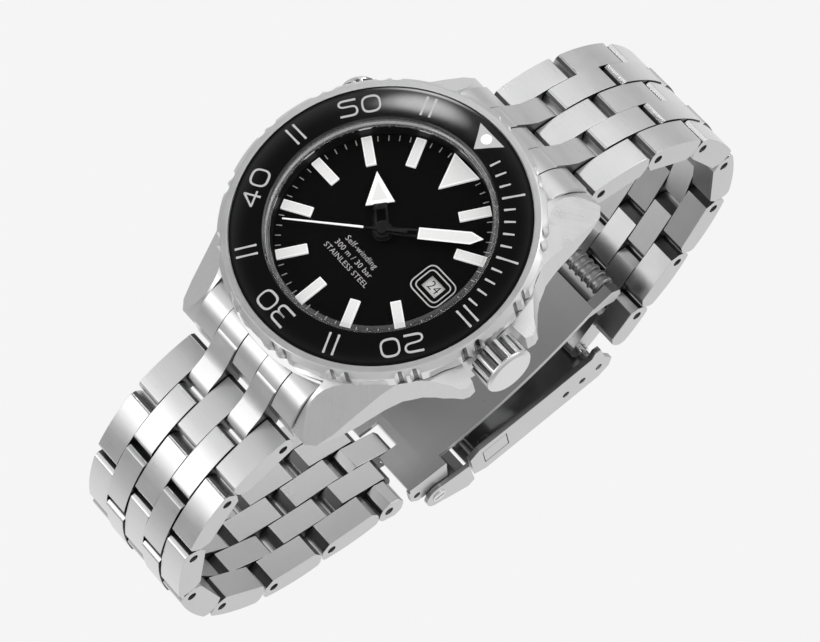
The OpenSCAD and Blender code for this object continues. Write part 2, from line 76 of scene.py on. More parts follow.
@dataclass(frozen=True)
class Value:
    """One number in a shader graph, which takes part in Python expressions."""

    graph: "Graph"
    socket: bpy.types.NodeSocket

    def __add__(self, other: Any) -> "Value":
        """Sum."""
        return self.graph.math("ADD", self, other)

    __radd__ = __add__

    def __sub__(self, other: Any) -> "Value":
        """Difference."""
        return self.graph.math("SUBTRACT", self, other)

    def __rsub__(self, other: Any) -> "Value":
        """Difference, with the number on the left."""
        return self.graph.math("SUBTRACT", other, self)

    def __mul__(self, other: Any) -> "Value":
        """Product."""
        return self.graph.math("MULTIPLY", self, other)

    __rmul__ = __mul__


class Graph:
    """The node tree of one new material, or of the world."""

    def __init__(self, name: str, world: bool = False) -> None:
        """Start an empty graph.

        Args:
            name: the material's or the world's name.
            world: the graph lights the world.
        """
        self.material = (bpy.data.worlds if world else bpy.data.materials).new(name)
        self.material.use_nodes = True
        self.tree = self.material.node_tree
        self.tree.nodes.clear()
        kind = "ShaderNodeOutputWorld" if world else "ShaderNodeOutputMaterial"
        self.surface = self.node(kind).inputs["Surface"]

    def node(
        self,
        kind: str,
        settings: dict[str, Any] | None = None,
        inputs: dict[Any, Any] | None = None,
    ) -> bpy.types.Node:
        """Add a node, set what it does, then fill its sockets.

        Args:
            kind: the node's type.
            settings: properties of the node.
            inputs: numbers, colours or links, by socket name or place.

        Returns:
            The new node.
        """
        made = self.tree.nodes.new(kind)
        for key, value in (settings or {}).items():
            setattr(made, key, value)
        for key, value in (inputs or {}).items():
            self.plug(made.inputs[key], value)
        return made

    def plug(self, socket: bpy.types.NodeSocket, value: Any) -> None:
        """Link a value or a socket to an input, or set the input's own number.

        Args:
            socket: the input.
            value: what it gets.
        """
        if isinstance(value, Value):
            value = value.socket
        if isinstance(value, bpy.types.NodeSocket):
            self.tree.links.new(value, socket)
        else:
            socket.default_value = value

    def math(self, operation: str, *parts: Any) -> Value:
        """Add a Math node.

        Args:
            operation: the node's operation.
            parts: its values, in order.

        Returns:
            The result.
        """
        made = self.node("ShaderNodeMath", {"operation": operation}, dict(enumerate(parts)))
        return Value(self, made.outputs[0])

    def blend(self, share: Value, low: Colour, high: Colour) -> bpy.types.NodeSocket:
        """Mix two colours by a value from 0 to 1.

        Args:
            share: how much of the second colour.
            low: the colour at 0.
            high: the colour at 1.

        Returns:
            The mixed colour.
        """
        made = self.node(
            "ShaderNodeMix",
            {"data_type": "RGBA"},
            {"Factor": share, 6: (*low, 1.0), 7: (*high, 1.0)},
        )
        return made.outputs[2]

    def point(self, space: str) -> list[Value]:
        """The three parts of a texture coordinate, by the name of its space.

        Args:
            space: Object or Generated.

        Returns:
            Its three parts.
        """
        where = self.node("ShaderNodeTexCoord").outputs[space]
        split = self.node("ShaderNodeSeparateXYZ", inputs={0: where})
        return [Value(self, out) for out in split.outputs]

    def place(self) -> list[Value]:
        """The point on the object, in millimetres."""
        return [part * 1000.0 for part in self.point("Object")]

    def ease(self, value: Value, start: float, end: float) -> Value:
        """Rise smoothly from 0 at one value to 1 at another.

        Args:
            value: what is read.
            start: where the rise begins.
            end: where it ends.

        Returns:
            A value from 0 to 1.
        """
        made = self.node(
            "ShaderNodeMapRange",
            {"interpolation_type": "SMOOTHSTEP"},
            {"Value": value, "From Min": start, "From Max": end},
        )
        return Value(self, made.outputs["Result"])

    def noise(self, x: Any, y: Any, z: Any, detail: float = 3.0) -> Value:
        """Smooth noise from 0 to 1 over a stretched space.

        Args:
            x: first coordinate.
            y: second coordinate.
            z: third coordinate.
            detail: how many finer layers are added.

        Returns:
            The noise.
        """
        at = self.node("ShaderNodeCombineXYZ", inputs={0: x, 1: y, 2: z})
        made = self.node(
            "ShaderNodeTexNoise",
            inputs={"Vector": at.outputs[0], "Scale": 1.0, "Detail": detail, "Roughness": 0.6},
        )
        return Value(self, made.outputs["Fac"])

    def bump(self, height: Value, depth: float, strength: float = 1.0) -> bpy.types.NodeSocket:
        """Turn a height from 0 to 1 into a normal, with the depth in millimetres.

        Args:
            height: the height.
            depth: how deep 0 lies under 1.
            strength: how much of it shows.

        Returns:
            The normal.
        """
        made = self.node(
            "ShaderNodeBump",
            inputs={"Strength": strength, "Distance": depth * MM, "Height": height},
        )
        return made.outputs["Normal"]

    def finish(self, **inputs: Any) -> bpy.types.Material:
        """Close the graph with one Principled shader.

        Args:
            inputs: its sockets, with a low line for each space in a name.

        Returns:
            The material.
        """
        named = {key.replace("_", " "): value for key, value in inputs.items()}
        shader = self.node("ShaderNodeBsdfPrincipled", inputs=named)
        self.plug(self.surface, shader.outputs[0])
        return self.material


# ---- finishes ----


@dataclass(frozen=True)
class Finish:
    """A surface finish, made once and shared."""

    name: str

    def material(self) -> bpy.types.Material:
        """The finish's material, made at its first use."""
        return bpy.data.materials.get(self.name) or self.make()

    def make(self) -> bpy.types.Material:
        """Build the material.

        Returns:
            The material.
        """
        raise NotImplementedError


@dataclass(frozen=True)
class BrushedSteel(Finish):
    """Steel with fine parallel brush lines, a little uneven in tone and gloss."""

    grain: Grain = Grain.ACROSS
    tone: float = 0.68
    roughness: float = 0.3
    spread: float = 0.1
    lines: float = 11.0
    depth: float = 0.0006

    def streaks(self, graph: Graph, lines: float) -> Value:
        """Noise drawn out along the brush lines.

        Args:
            graph: the material's graph.
            lines: lines per millimetre.

        Returns:
            The streaks, from 0 to 1.
        """
        x, y, z = graph.place()
        along = 0.18
        if self.grain is Grain.ACROSS:
            return graph.noise(x * along, y * lines, z * lines)
        if self.grain is Grain.LENGTH:
            return graph.noise(x * lines, y * along, z * along)
        if self.grain is Grain.EVEN:
            return graph.noise(x * lines, y * lines, z * lines)
        angle = graph.math("ARCTAN2", x, y)
        radius = graph.math("SQRT", x * x + y * y)
        if self.grain is Grain.RADIAL:
            return graph.noise(angle * (20.0 * lines), radius * along, z * along)
        return graph.noise(angle * 3.0, radius * lines, z * lines)

    def make(self) -> bpy.types.Material:
        """Build the material.

        Returns:
            The material.
        """
        graph = Graph(self.name)
        x, y, z = graph.place()
        fine = self.streaks(graph, self.lines)
        coarse = self.streaks(graph, self.lines * 0.4)
        cloud = graph.noise(x * 0.35, y * 0.35, z * 0.35, 2.0)
        line = fine * 0.75 + coarse * 0.25
        rough = line * self.spread + cloud * 0.1 + (self.roughness - self.spread / 2 - 0.05)
        shade = graph.blend(
            line * 0.75 + cloud * 0.25,
            (self.tone * 0.9, self.tone * 0.9, self.tone * 0.905),
            (self.tone * 1.08, self.tone * 1.08, self.tone * 1.08),
        )
        return graph.finish(
            Base_Color=shade, Metallic=1.0, Roughness=rough, Normal=graph.bump(line, self.depth)
        )


@dataclass(frozen=True)
class PolishedSteel(Finish):
    """Bright polished steel with faint handling marks."""

    tone: float = 0.72
    roughness: float = 0.1

    def make(self) -> bpy.types.Material:
        """Build the material.

        Returns:
            The material.
        """
        graph = Graph(self.name)
        x, y, z = graph.place()
        cloud = graph.noise(x * 0.6, y * 0.6, z * 0.6, 4.0)
        hair = graph.noise(x * 6.0, y * 0.5, z * 3.0, 2.0)
        rough = cloud * 0.09 + hair * 0.05 + (self.roughness - 0.06)
        shade = graph.blend(
            cloud,
            (self.tone * 0.93, self.tone * 0.93, self.tone * 0.94),
            (self.tone * 1.05, self.tone * 1.05, self.tone * 1.05),
        )
        return graph.finish(
            Base_Color=shade, Metallic=1.0, Roughness=rough, Normal=graph.bump(hair, 0.0004)
        )


@dataclass(frozen=True)
class Lacquer(Finish):
    """Black lacquer or enamel, from a mirror gloss to a soft satin."""

    tone: float = 0.006
    roughness: float = 0.12
    speckle: float = 0.004
    specular: float = 0.5

    def make(self) -> bpy.types.Material:
        """Build the material.

        Returns:
            The material.
        """
        graph = Graph(self.name)
        x, y, z = graph.place()
        grains = graph.noise(x * 14.0, y * 14.0, z * 14.0, 2.0)
        cloud = graph.noise(x * 0.5, y * 0.5, z * 0.5, 3.0)
        low = (self.tone, self.tone, self.tone)
        high = (self.tone + self.speckle,) * 3
        return graph.finish(
            Base_Color=graph.blend(grains, low, high),
            Roughness=cloud * 0.06 + grains * 0.04 + (self.roughness - 0.05),
            Normal=graph.bump(grains, 0.0001),
            Specular_IOR_Level=self.specular,
        )


@dataclass(frozen=True)
class Pigment(Finish):
    """An opaque pale compound or ink: luminous filling, print or enamel."""

    colour: Colour = (0.86, 0.86, 0.85)
    roughness: float = 0.55
    # Emission that brightens the colour beyond what the lamps give: painted glow.
    glow: float = 0.0

    def make(self) -> bpy.types.Material:
        """Build the material.

        Returns:
            The material.
        """
        graph = Graph(self.name)
        x, y, z = graph.place()
        grains = graph.noise(x * 10.0, y * 10.0, z * 10.0, 3.0)
        cloud = graph.noise(x * 1.2, y * 1.2, z * 1.2, 2.0)
        dark = tuple(c * 0.92 for c in self.colour)
        shade = graph.blend(grains * 0.5 + cloud * 0.5, dark, self.colour)
        return graph.finish(
            Base_Color=shade,
            Roughness=grains * 0.12 + (self.roughness - 0.06),
            Normal=graph.bump(grains, 0.003),
            Emission_Color=shade,
            Emission_Strength=self.glow,
        )


@dataclass(frozen=True)
class Sapphire(Finish):
    """Clear coated crystal, hardly there face on; a paler, less clear copy paints the sheen at its
    polished edge.
    """

    alpha: float = 0.05
    tone: float = 0.02
    roughness: float = 0.01

    def make(self) -> bpy.types.Material:
        """Build the material.

        Returns:
            The material.
        """
        graph = Graph(self.name)
        x, y, z = graph.place()
        smear = graph.noise(x * 0.25, y * 0.25, z * 0.25, 4.0)
        shade = graph.blend(smear, (self.tone * 0.9,) * 3, (self.tone,) * 3)
        return graph.finish(
            Base_Color=shade,
            Roughness=smear * 0.03 + self.roughness,
            Alpha=smear * 0.01 + (self.alpha - 0.005),
            IOR=1.77,
        )


@dataclass(frozen=True)
class Plain(Finish):
    """Rubber or brass for the parts inside, with a fine cast or moulded texture."""

    colour: Colour = (0.02, 0.02, 0.02)
    roughness: float = 0.6
    metallic: float = 0.0
    grain: float = 5.0

    def make(self) -> bpy.types.Material:
        """Build the material.

        Returns:
            The material.
        """
        graph = Graph(self.name)
        x, y, z = graph.place()
        grains = graph.noise(x * self.grain, y * self.grain, z * self.grain, 4.0)
        dark = tuple(c * 0.8 for c in self.colour)
        return graph.finish(
            Base_Color=graph.blend(grains, dark, self.colour),
            Metallic=self.metallic,
            Roughness=grains * 0.16 + (self.roughness - 0.08),
            Normal=graph.bump(grains, 0.002),
        )


LINK_TOP = BrushedSteel("link_brushed", Grain.ACROSS, tone=0.74, roughness=0.3, lines=7.0)
# Satin sides, in a darker tone that paints the shade falling on them.
LINK_SIDE = BrushedSteel("link_side", Grain.LENGTH, tone=0.6, roughness=0.32, spread=0.05)
# Plainer brushing inside the loop, in a darker tone that paints the shade there.
LINK_UNDER = BrushedSteel("link_under", Grain.LENGTH, tone=0.6, spread=0.05, depth=0.0002)
CASE_TOP = BrushedSteel(
    "case_brushed", Grain.RADIAL, tone=0.74, roughness=0.29, lines=4.0, depth=0.0003
)
# Satin sides, in a darker tone that paints the shade falling on them.
CASE_SIDE = BrushedSteel("case_side", Grain.LENGTH, tone=0.63, roughness=0.32, spread=0.05)
RING_STEEL = BrushedSteel("turned_steel", Grain.RING, tone=0.76, spread=0.03, depth=0.0002)
SATIN = BrushedSteel("satin_steel", Grain.EVEN, tone=0.74, roughness=0.3, spread=0.05, depth=0.0002)
POLISHED = PolishedSteel("polished_steel", roughness=0.14)
# Painted shade: near-black steel for gaps, seams, sunk pin holes, cut letters and slots.
DEEP_SHADE = PolishedSteel("painted_deep_shade", tone=0.1, roughness=0.35)
# Painted shade: dark steel for the walls of the bezel notches and the bottoms of the flutes.
RECESS_SHADE = PolishedSteel("painted_recess_shade", tone=0.14, roughness=0.25)
# Painted shade: dark brushed steel for the blades and the inside of the clasp, under the watch.
INNER_SHADE = BrushedSteel("painted_inner_shade", Grain.LENGTH, tone=0.3, spread=0.03, depth=0.0001)
ENAMEL = Lacquer("insert_enamel", tone=0.003, roughness=0.08)
DIAL_PAINT = Lacquer("dial_lacquer", tone=0.002, roughness=0.5, speckle=0.003, specular=0.03)
BLACK_METAL = Lacquer("black_metal", tone=0.006, roughness=0.3, specular=0.25)
# The luminous filling and the white frames glow a little: painted light, not lamps.
LUME = Pigment("luminous_filling", (0.84, 0.84, 0.83), glow=0.22)
WHITE_FRAME = Pigment("white_frame", (0.92, 0.92, 0.92), roughness=0.35, glow=0.4)
MARK_FILL = Pigment("bezel_filling", (0.6, 0.6, 0.6), roughness=0.4)
INK = Pigment("dial_ink", (0.68, 0.68, 0.68), roughness=0.5)
FAINT_INK = Pigment("track_ink", (0.42, 0.42, 0.42), roughness=0.5)
DATE_WHITE = Pigment("date_enamel", (0.85, 0.85, 0.84), roughness=0.4)
CRYSTAL_FACE = Sapphire("crystal_face", alpha=0.025)
# Painted sheen: a pale half-clear layer that stands in for the bevel's reflection.
CRYSTAL_EDGE_SHEEN = Sapphire("crystal_edge_painted_sheen", alpha=0.2, tone=0.4, roughness=0.18)
RUBBER = Plain("gasket_rubber", (0.02, 0.02, 0.02), 0.6)
BRASS = Plain("balance_brass", (0.72, 0.55, 0.26), 0.3, 1.0, 3.0)


# ---- the bench: shaping with the usual modelling tools ----


def only(piece: bpy.types.Object) -> None:
    """Select one object and nothing else, and make it active.

    Args:
        piece: the object.
    """
    for other in bpy.context.selected_objects:
        other.select_set(False)
    piece.select_set(True)
    bpy.context.view_layer.objects.active = piece


def clear() -> None:
    """Select nothing."""
    for other in bpy.context.selected_objects:
        other.select_set(False)


@contextmanager
def editing(piece: bpy.types.Object, mode: str = "FACE") -> Iterator[None]:
    """Edit an object's mesh with all of it selected.

    Args:
        piece: the object.
        mode: what is selected, VERT, EDGE or FACE.

    Returns:
        A context that leaves edit mode at its end.
    """
    only(piece)
    bpy.ops.object.mode_set(mode="EDIT")
    bpy.ops.mesh.select_mode(type=mode)
    bpy.ops.mesh.select_all(action="SELECT")
    yield
    bpy.ops.object.mode_set(mode="OBJECT")


def apply_modifier(piece: bpy.types.Object, kind: str, **settings: Any) -> None:
    """Add a modifier and apply it at once.

    Args:
        piece: the object.
        kind: the modifier's type.
        settings: its properties.
    """
    only(piece)
    added = piece.modifiers.new(kind.lower(), kind)
    for key, value in settings.items():
        setattr(added, key, value)
    bpy.ops.object.modifier_apply(modifier=added.name)


def ease_edges(piece: bpy.types.Object, width: float, segments: int = 2, sharp: float = 28) -> None:
    """Round the sharp edges and shade the rest smooth.

    Args:
        piece: the object.
        width: width of the rounding in millimetres.
        segments: faces across the rounding.
        sharp: edges that turn more than this many degrees are rounded.
    """
    apply_modifier(
        piece,
        "BEVEL",
        width=width * MM,
        segments=segments,
        limit_method="ANGLE",
        angle_limit=math.radians(sharp),
        use_clamp_overlap=True,
        miter_outer="MITER_ARC",
    )
    only(piece)
    bpy.ops.object.shade_smooth_by_angle(angle=math.radians(40))
    apply_modifier(piece, "WEIGHTED_NORMAL", keep_sharp=True, weight=80)


def refined(node: str, name: str, width: float, segments: int = 2) -> bpy.types.Object:
    """A welded copy of a solid of the frame, with its sharp edges rounded.

    Args:
        node: the solid's name in the frame.
        name: name of the new piece.
        width: width of the rounding in millimetres.
        segments: faces across the rounding.

    Returns:
        The new piece.
    """
    piece = bpy.data.objects.new(name, frame["nodes"][node].data.copy())
    bpy.context.scene.collection.objects.link(piece)
    piece.data.materials.clear()
    with editing(piece, "VERT"):
        bpy.ops.mesh.remove_doubles(threshold=0.0008 * MM)
        bpy.ops.mesh.dissolve_limited(angle_limit=math.radians(0.5))
    ease_edges(piece, width, segments)
    return piece


def shift(piece: bpy.types.Object, matrix: Matrix) -> bpy.types.Object:
    """Move an object's mesh, and leave the object at the origin.

    Args:
        piece: the object.
        matrix: how its mesh moves.

    Returns:
        The same object.
    """
    piece.data.transform(matrix)
    piece.data.update()
    return piece


def settle(piece: bpy.types.Object, name: str) -> bpy.types.Object:
    """Put a new object's place into its mesh and name it.

    Args:
        piece: an object that has just been added.
        name: its new name.

    Returns:
        The same object, now at the origin.
    """
    bpy.context.view_layer.update()
    piece.data.transform(piece.matrix_world)
    piece.matrix_world = Matrix.Identity(4)
    piece.name = name
    return piece


def plate(name: str, outline: Sequence[Point], low: float, high: float) -> bpy.types.Object:
    """A flat plate cut to an outline.

    Args:
        name: name of the piece.
        outline: corners in millimetres, anticlockwise.
        low: height of its lower face.
        high: height of its upper face.

    Returns:
        The plate.
    """
    clear()
    bpy.ops.mesh.primitive_circle_add(vertices=len(outline), radius=MM, fill_type="NGON")
    piece = settle(bpy.context.object, name)
    for corner, (x, y) in zip(piece.data.vertices, outline):
        corner.co = (x * MM, y * MM, low * MM)
    with editing(piece):
        bpy.ops.mesh.extrude_region_move(
            TRANSFORM_OT_translate={"value": (0, 0, (high - low) * MM)}
        )
        bpy.ops.mesh.select_all(action="SELECT")
        bpy.ops.mesh.normals_make_consistent(inside=False)
    return piece


def turned(name: str, profile: Sequence[Point], steps: int = 144) -> bpy.types.Object:
    """A solid turned round the dial axis.

    Args:
        name: name of the piece.
        profile: closed outline as radius and height in millimetres.
        steps: faces round the axis.

    Returns:
        The turned solid.
    """
    clear()
    bpy.ops.mesh.primitive_circle_add(vertices=len(profile), radius=MM, fill_type="NOTHING")
    piece = settle(bpy.context.object, name)
    for corner, (radius, height) in zip(piece.data.vertices, profile):
        corner.co = (radius * MM, 0, height * MM)
    with editing(piece, "VERT"):
        bpy.ops.mesh.spin(
            steps=steps, angle=math.tau, center=(0, 0, 0), axis=(0, 0, 1), use_auto_merge=True
        )
        bpy.ops.mesh.select_all(action="SELECT")
        bpy.ops.mesh.remove_doubles(threshold=0.001 * MM)
        bpy.ops.mesh.normals_make_consistent(inside=False)
    return piece


def copied(piece: bpy.types.Object, name: str, matrix: Matrix) -> bpy.types.Object:
    """A copy with its own mesh, moved by a matrix.

    Args:
        piece: what is copied.
        name: name of the copy.
        matrix: how the copy's mesh moves.

    Returns:
        The copy.
    """
    twin = bpy.data.objects.new(name, piece.data.copy())
    bpy.context.scene.collection.objects.link(twin)
    return shift(twin, matrix)


def joined(name: str, pieces: Sequence[bpy.types.Object]) -> bpy.types.Object:
    """Join pieces of one finish into one object.

    Args:
        name: name of the result.
        pieces: the objects to join; the first one stays.

    Returns:
        The joined object.
    """
    only(pieces[0])
    for piece in pieces:
        piece.select_set(True)
    bpy.ops.object.join()
    pieces[0].name = name
    return pieces[0]


def clock(degrees: float) -> Matrix:
    """Turn from 12 o'clock to a clock direction."""
    return Matrix.Rotation(math.radians(-degrees), 4, "Z")


def moved(x: float, y: float, z: float = 0.0) -> Matrix:
    """A move in millimetres."""
    return Matrix.Translation(Vector((x, y, z)) * MM)


def bar(length: float, width: float, low: float, high: float, ease: float) -> bpy.types.Object:
    """A bar along Y with rounded edges, centred on the dial axis.

    Args:
        length: size along Y in millimetres.
        width: size along X.
        low: height of its lower face.
        high: height of its upper face.
        ease: width of the edge rounding.

    Returns:
        The bar.
    """
    a, b = width / 2, length / 2
    piece = plate("bar", [(a, -b), (a, b), (-a, b), (-a, -b)], low, high)
    ease_edges(piece, ease)
    return piece


def rounded(corners: Sequence[Point], radius: float, closed: bool = False) -> list[Point]:
    """A line with its corners rounded.

    Args:
        corners: the line's corners.
        radius: how far before a corner its curve starts.
        closed: the last corner joins the first.

    Returns:
        Points along the line.
    """
    count = len(corners)
    made: list[Point] = []
    for i, corner in enumerate(corners):
        if not closed and i in (0, count - 1):
            made.append(corner)
            continue
        here = Vector(corner)
        before, after = Vector(corners[i - 1]), Vector(corners[(i + 1) % count])
        start = here + (before - here).normalized() * min(radius, (before - here).length / 2)
        end = here + (after - here).normalized() * min(radius, (after - here).length / 2)
        for step in range(7):
            t = step / 6
            made.append(tuple(start * (1 - t) ** 2 + here * 2 * t * (1 - t) + end * t**2))
    return made


def stroke(points: Sequence[Point], width: float, closed: bool = False) -> bpy.types.Object:
    """A flat raised line of even width that follows points, in the XY plane.

    Args:
        points: the line in millimetres.
        width: width of the line.
        closed: the line runs back to its start.

    Returns:
        The line as a mesh.
    """
    curve = bpy.data.curves.new("stroke", "CURVE")
    curve.dimensions = "3D"
    spline = curve.splines.new("POLY")
    spline.points.add(len(points) - 1)
    for knot, (x, y) in zip(spline.points, points):
        knot.co = (x * MM, y * MM, 0, 1)
    spline.use_cyclic_u = closed
    curve.bevel_depth = width / 2 * MM
    curve.bevel_resolution = 1
    curve.use_fill_caps = True
    piece = bpy.data.objects.new("stroke", curve)
    bpy.context.scene.collection.objects.link(piece)
    only(piece)
    bpy.ops.object.convert(target="MESH")
    piece = bpy.context.object
    return shift(piece, Matrix.Diagonal((1, 1, 0.16, 1)))


def lettering(words: str, size: float, depth: float = 0.012) -> bpy.types.Object:
    """Printed words, centred on the dial axis and read along +X.

    Args:
        words: the words.
        size: letter size in millimetres.
        depth: thickness of the print.

    Returns:
        The words as a mesh.
    """
    clear()
    bpy.ops.object.text_add()
    piece = bpy.context.object
    piece.data.body = words
    piece.data.size = size * MM
    piece.data.extrude = depth / 2 * MM
    piece.data.offset = -0.01 * MM
    piece.data.resolution_u = 3
    piece.data.space_character = 1.06
    piece.data.align_x = "CENTER"
    piece.data.align_y = "CENTER"
    only(piece)
    bpy.ops.object.convert(target="MESH")
    return settle(bpy.context.object, "lettering")


Rule = Callable[[Vector, Vector], int]


def joint_place(name: str) -> list[float]:
    """Where a joint's axis passes, in millimetres."""
    joint = next(joint for joint in frame["joints"] if joint["name"] == name)
    return [part / MM for part in joint["pos_m"]]


def dress(
    piece: bpy.types.Object,
    body: str,
    slot: str,
    finishes: Sequence[Finish],
    rule: Rule | None = None,
    stands_for: Sequence[str] = (),
) -> bpy.types.Object:
    """Give a piece its finishes and fix it to its body.

    Args:
        piece: the object.
        body: the frame body it rides on.
        slot: the material slot of the record; not used.
        finishes: its finishes.
        rule: picks a finish from a face's normal and middle, in millimetres.
        stands_for: solids of the frame that it replaces.

    Returns:
        The same piece.
    """
    piece.data.materials.clear()
    for finish in finishes:
        piece.data.materials.append(finish.material())
    for face in piece.data.polygons:
        face.material_index = rule(face.normal, face.center / MM) if rule else 0
    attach(piece, body)
    if stands_for:
        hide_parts(*stands_for)
    log.info("%s rides on %s, %d faces", piece.name, body, len(piece.data.polygons))
    return piece


# ---- sub-assemblies ----


@dataclass
class Case:
    """Case middle, back, crown tube, lug bars and crystal."""

    edge: float = 0.16
    seat_r: float = 18.0
    seat_z: float = 8.5
    crystal_low: float = 10.83
    crystal_top: float = 12.15
    crystal_r: float = 14.65
    crystal_rim: float = 0.5
    wording: str = "STAINLESS STEEL  *  SELF-WINDING  *  300 m  *  "
    wording_r: float = 12.6
    wording_size: float = 2.0

    def build(self) -> None:
        """Make every piece of the case."""
        self.middle()
        self.back()
        self.crystal()
        for side in ("12", "6"):
            rod = refined(f"lug_bar_{side}", f"spring_bar_{side}", 0.06)
            dress(rod, "head", "bar_steel", [POLISHED], None, [f"lug_bar_{side}"])
        tube = refined("crown_tube", "crown_tube_turned", 0.08)
        dress(tube, "head", "case_steel", [POLISHED], None, ["crown_tube"])

    def middle(self) -> None:
        """The case middle: brushed on top, satin and painted darker at the sides, polished where it
        is turned.
        """

        def face(normal: Vector, centre: Vector) -> int:
            """Polished in the bezel's seat, brushed where it looks up, satin with painted shade at
            the sides.

            Args:
                normal: which way the face looks.
                centre: its middle in millimetres.

            Returns:
                Which finish the face gets.
            """
            if centre.to_2d().length < self.seat_r and centre.z > self.seat_z:
                return 2
            return 0 if normal.z > 0.3 else 1

        piece = refined("case", "case_middle", self.edge)
        dress(piece, "head", "case_steel", [CASE_TOP, CASE_SIDE, POLISHED], face, ["case"])

    def back(self) -> None:
        """The screwed back, with its wording cut round the rim of the flat."""
        piece = refined("case_back", "case_back_turned", 0.1)
        dress(piece, "head", "back_steel", [RING_STEEL], None, ["case_back"])
        made = []
        for i, letter in enumerate(self.wording):
            if letter != " ":
                turn = clock(-360 * i / len(self.wording))
                over = moved(0, self.wording_r, -0.003) @ Matrix.Rotation(math.pi, 4, "Y")
                made.append(shift(lettering(letter, self.wording_size), turn @ over))
        # The cut letters are near-black steel: painted shade.
        dress(joined("back_wording", made), "head", "back_steel", [DEEP_SHADE])

    def crystal(self) -> None:
        """The crystal, with a polished bevel."""
        r, low, top = self.crystal_r, self.crystal_low, self.crystal_top
        profile = [
            (0.01, low),
            (r, low),
            (r, top - 0.3),
            (r - 0.08, top - 0.2),
            (r - 0.3, top - 0.03),
            (r - 0.45, top),
            (r - self.crystal_rim, top),
            (0.01, top),
        ]
        piece = turned("crystal_cut", profile, 128)
        only(piece)
        bpy.ops.object.shade_smooth_by_angle(angle=math.radians(50))

        def face(normal: Vector, centre: Vector) -> int:
            """Painted sheen round the rim: paler, less clear and rougher."""
            return 1 if centre.to_2d().length > self.crystal_r - self.crystal_rim else 0

        dress(piece, "head", "crystal", [CRYSTAL_FACE, CRYSTAL_EDGE_SHEEN], face, ["crystal"])


